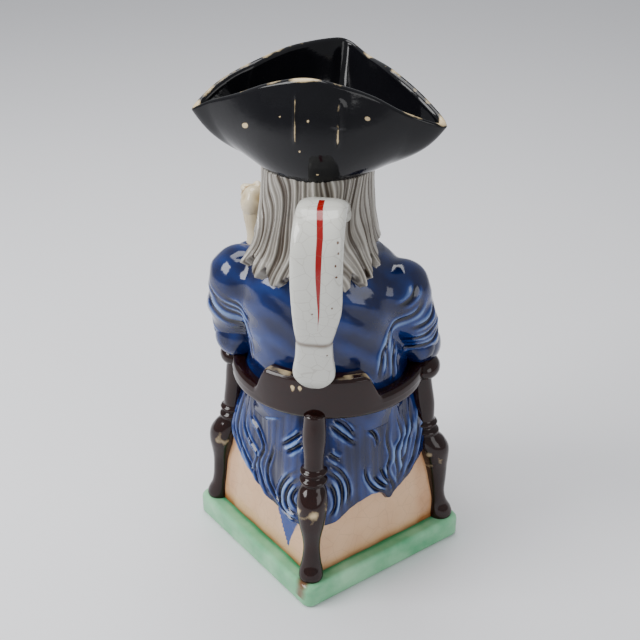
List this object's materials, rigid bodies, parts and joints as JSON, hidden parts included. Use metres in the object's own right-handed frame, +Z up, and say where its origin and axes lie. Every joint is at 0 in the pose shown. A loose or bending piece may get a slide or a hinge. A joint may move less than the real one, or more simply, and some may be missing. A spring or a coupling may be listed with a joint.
{
  "type": "toby jug",
  "caption": "Earthenware jug in the shape of a seated man in a corner chair, with his open tricorn hat as the mouth and a strap handle at the back",
  "frame": {"origin": "centre of the plinth's underside, on the table", "axes": "+Z up, -Y the way the man faces, +X to the man's left; the plinth's corners lie on the X and Y axes"},
  "size_m": [0.1546, 0.1589, 0.289],
  "materials": {
    "glazed_earthenware": "glossy lead glaze over coloured enamels"
  },
  "bodies": {
    "root": {"toby_jug": "glazed_earthenware"}
  },
  "joints": []
}
